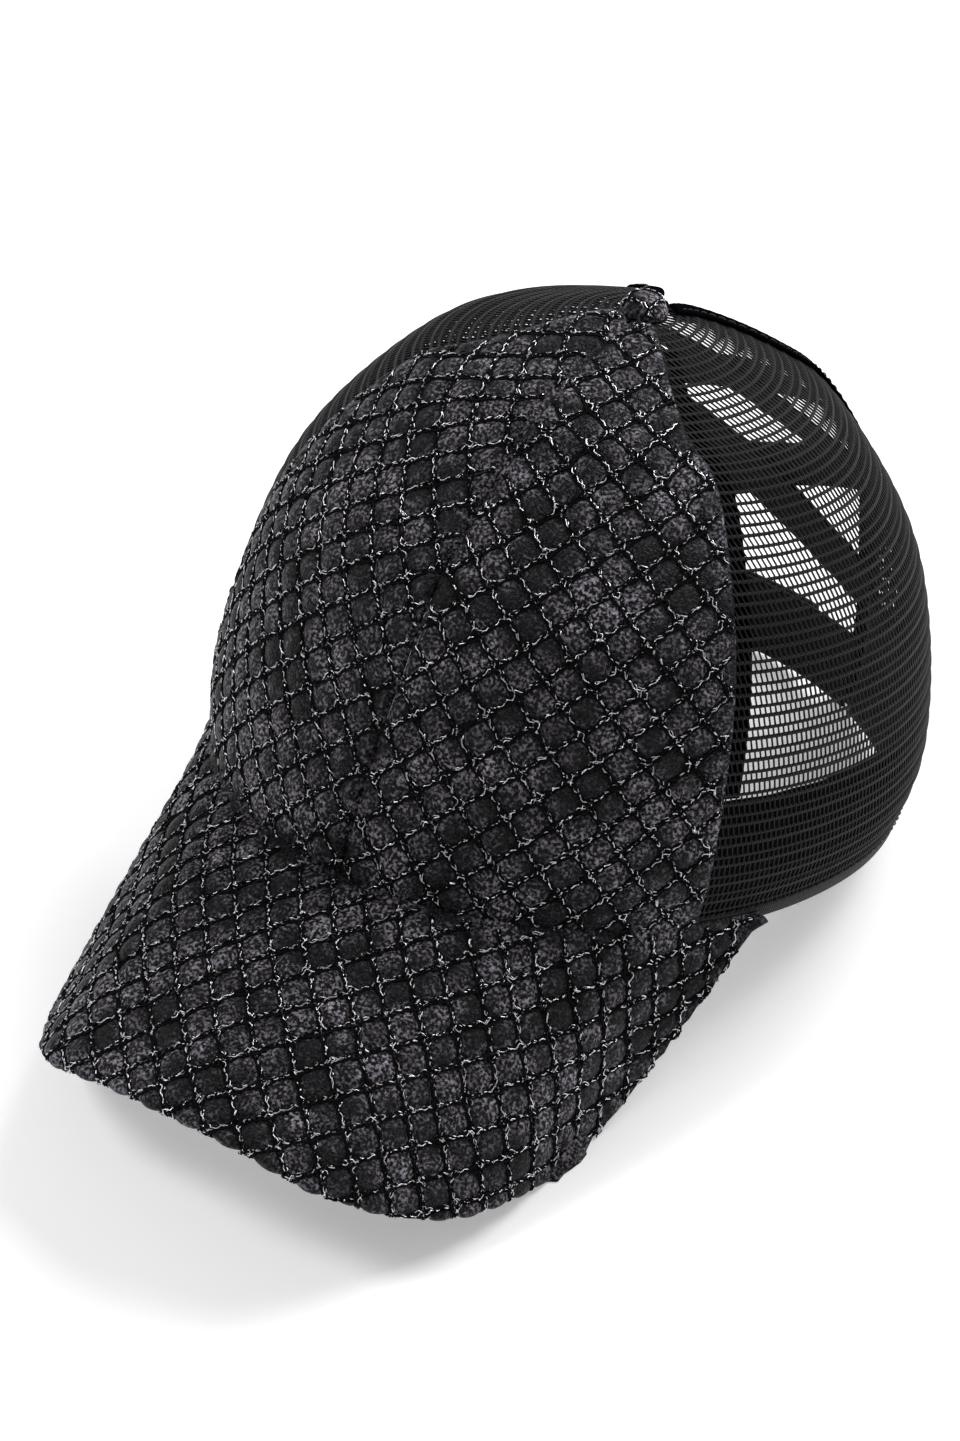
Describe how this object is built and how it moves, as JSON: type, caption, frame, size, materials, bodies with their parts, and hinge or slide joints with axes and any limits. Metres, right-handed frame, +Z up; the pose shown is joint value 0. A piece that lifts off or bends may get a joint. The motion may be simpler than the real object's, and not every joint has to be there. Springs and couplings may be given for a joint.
{
  "type": "ponytail baseball cap",
  "caption": "Soft baseball cap with a curved peak, faux-leather front, mesh sides and an open back crossed by straps, so that a ponytail passes through.",
  "frame": {"origin": "on the surface that the cap lies on, under the centre of its bounding box", "axes": "-Y towards the peak, +X towards the wearer's left, +Z up as the cap lies by itself on its peak's corners and the rear of its rim"},
  "size_m": [0.1898, 0.2738, 0.1604],
  "materials": {
    "quilted_leather": "black crackled faux leather puffed through a coarse knotted net with silver dashes",
    "trucker_mesh": "black polyester mesh with brick-laid slots",
    "woven_tape": "matt black twill tape",
    "strap_webbing": "matt black elastic webbing",
    "sweatband_cloth": "matt black cotton twill, topstitched"
  },
  "bodies": {
    "root": {"front_panel_left": "quilted_leather", "front_panel_right": "quilted_leather", "mesh_panel_left": "trucker_mesh", "mesh_panel_right": "trucker_mesh", "peak": "quilted_leather", "top_button": "quilted_leather", "sweatband": "sweatband_cloth", "seam_tape_left": "woven_tape", "seam_tape_right": "woven_tape", "binding_left": "woven_tape", "binding_right": "woven_tape", "cross_strap_1": "strap_webbing", "cross_strap_2": "strap_webbing", "cross_strap_3": "strap_webbing", "cross_strap_4": "strap_webbing", "closure_tab_outer": "strap_webbing", "closure_tab_inner": "strap_webbing"}
  },
  "joints": []
}
